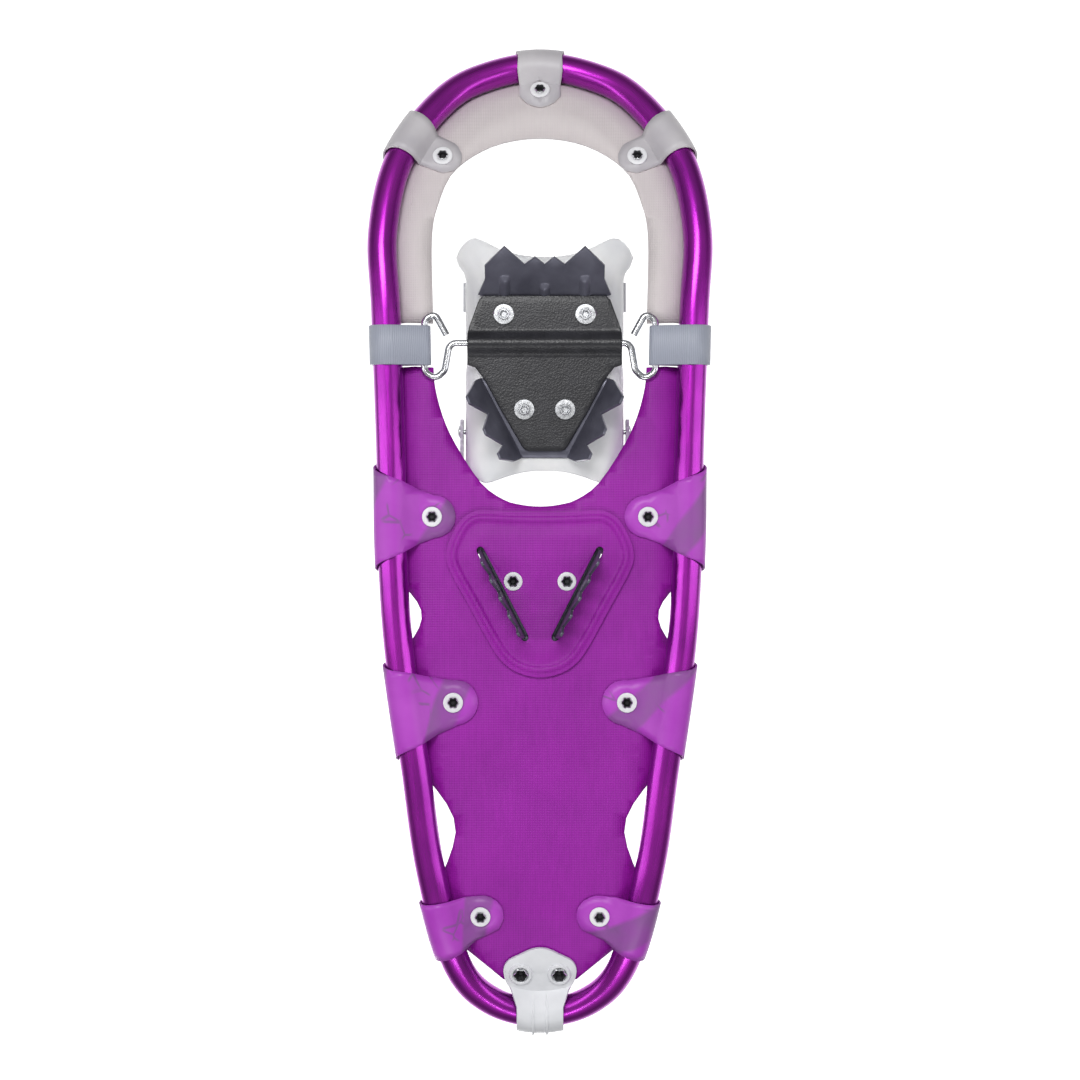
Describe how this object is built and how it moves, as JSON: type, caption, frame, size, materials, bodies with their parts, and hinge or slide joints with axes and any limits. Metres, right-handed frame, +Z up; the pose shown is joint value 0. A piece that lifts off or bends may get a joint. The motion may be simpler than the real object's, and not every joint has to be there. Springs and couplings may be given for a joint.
{
  "type": "snowshoe",
  "caption": "Snowshoe with a bent tube frame curled up at nose and tail, sheet decks wrapped and riveted round it, and a spiked binding that pivots on a rod.",
  "frame": {"origin": "middle of the shoe's width and length, on the ground under the spike tips", "axes": "+Y from tail to nose, +Z up out of the snow, +X to the wearer's right when facing the nose"},
  "size_m": [0.2206, 0.643, 0.1325],
  "materials": {
    "anodised_tube": "satin anodised, magenta purple",
    "deck_purple": "woven sheet with a smooth face",
    "deck_grey": "thin satin sheet",
    "clip_plastic": "moulded, light grey",
    "webbing": "ribbed satin webbing",
    "zinc": "zinc plated",
    "washer_white": "white",
    "plate_black": "black, fine leather grain",
    "spike_steel": "slate grey coat",
    "milky_plastic": "milky, lets some light through",
    "foam_dark": "dark foam with small dimples",
    "strap_grey": "pale grey flexible strap",
    "buckle_plastic": "charcoal moulded",
    "rivet_steel": "bright steel"
  },
  "bodies": {
    "shoe": {"cross_strap_left": "webbing", "cross_strap_right": "webbing", "deck_rivet_front_left": "rivet_steel", "deck_rivet_front_right": "rivet_steel", "deck_rivet_middle_left": "rivet_steel", "deck_rivet_middle_right": "rivet_steel", "deck_rivet_rear_left": "rivet_steel", "deck_rivet_rear_right": "rivet_steel", "deck_washer_front_left": "washer_white", "deck_washer_front_right": "washer_white", "deck_washer_middle_left": "washer_white", "deck_washer_middle_right": "washer_white", "deck_washer_rear_left": "washer_white", "deck_washer_rear_right": "washer_white", "frame_tube": "anodised_tube", "heel_crampon": "spike_steel", "heel_pad": "deck_purple", "heel_rivet_left": "rivet_steel", "heel_rivet_right": "rivet_steel", "heel_washer_left": "washer_white", "heel_washer_right": "washer_white", "main_deck": "deck_purple", "nose_rivet": "rivet_steel", "nose_washer": "washer_white", "pivot_axle": "zinc", "tail_clip": "clip_plastic", "tail_rivet_left": "rivet_steel", "tail_rivet_right": "rivet_steel", "toe_deck": "deck_grey", "toe_deck_rivet_left": "rivet_steel", "toe_deck_rivet_right": "rivet_steel", "toe_deck_washer_left": "washer_white", "toe_deck_washer_right": "washer_white", "tube_joint_sleeve": "rivet_steel"},
    "binding": {"hinge_plate": "plate_black", "toe_crampon": "spike_steel", "rear_crampon": "spike_steel", "toe_crampon_rivet_left": "rivet_steel", "toe_crampon_rivet_right": "rivet_steel", "rear_crampon_rivet_left": "rivet_steel", "rear_crampon_rivet_right": "rivet_steel", "binding_cradle": "milky_plastic", "foot_pad": "foam_dark", "toe_strap": "strap_grey", "instep_strap": "strap_grey", "toe_buckle": "buckle_plastic", "toe_buckle_pin": "rivet_steel", "instep_buckle": "buckle_plastic", "instep_buckle_pin": "rivet_steel", "heel_strap_rivet_left": "rivet_steel", "heel_strap_rivet_right": "rivet_steel", "toe_strap_rivet": "rivet_steel", "instep_strap_rivet": "rivet_steel"},
    "heel_strap": {"heel_strap": "strap_grey"},
    "toe_lever": {"toe_buckle_lever": "buckle_plastic"},
    "instep_lever": {"instep_buckle_lever": "buckle_plastic"}
  },
  "joints": [
    {"name": "binding_pivot", "type": "hinge", "parent": "shoe", "child": "binding", "pos_m": [0, 0.1245, 0.028], "axis": [-1, 0, 0], "range_deg": [0, 75]},
    {"name": "heel_strap_swing", "type": "hinge", "parent": "binding", "child": "heel_strap", "pos_m": [-0.003, 0.0685, 0.058], "axis": [-1, 0, 0], "range_deg": [0, 90]},
    {"name": "toe_buckle_lever", "type": "hinge", "parent": "binding", "child": "toe_lever", "pos_m": [0.03235, 0.15446, 0.10016], "axis": [0, 1, 0], "range_deg": [0, 80]},
    {"name": "instep_buckle_lever", "type": "hinge", "parent": "binding", "child": "instep_lever", "pos_m": [0.03493, 0.0825, 0.11547], "axis": [0, 1, 0], "range_deg": [0, 80]}
  ]
}
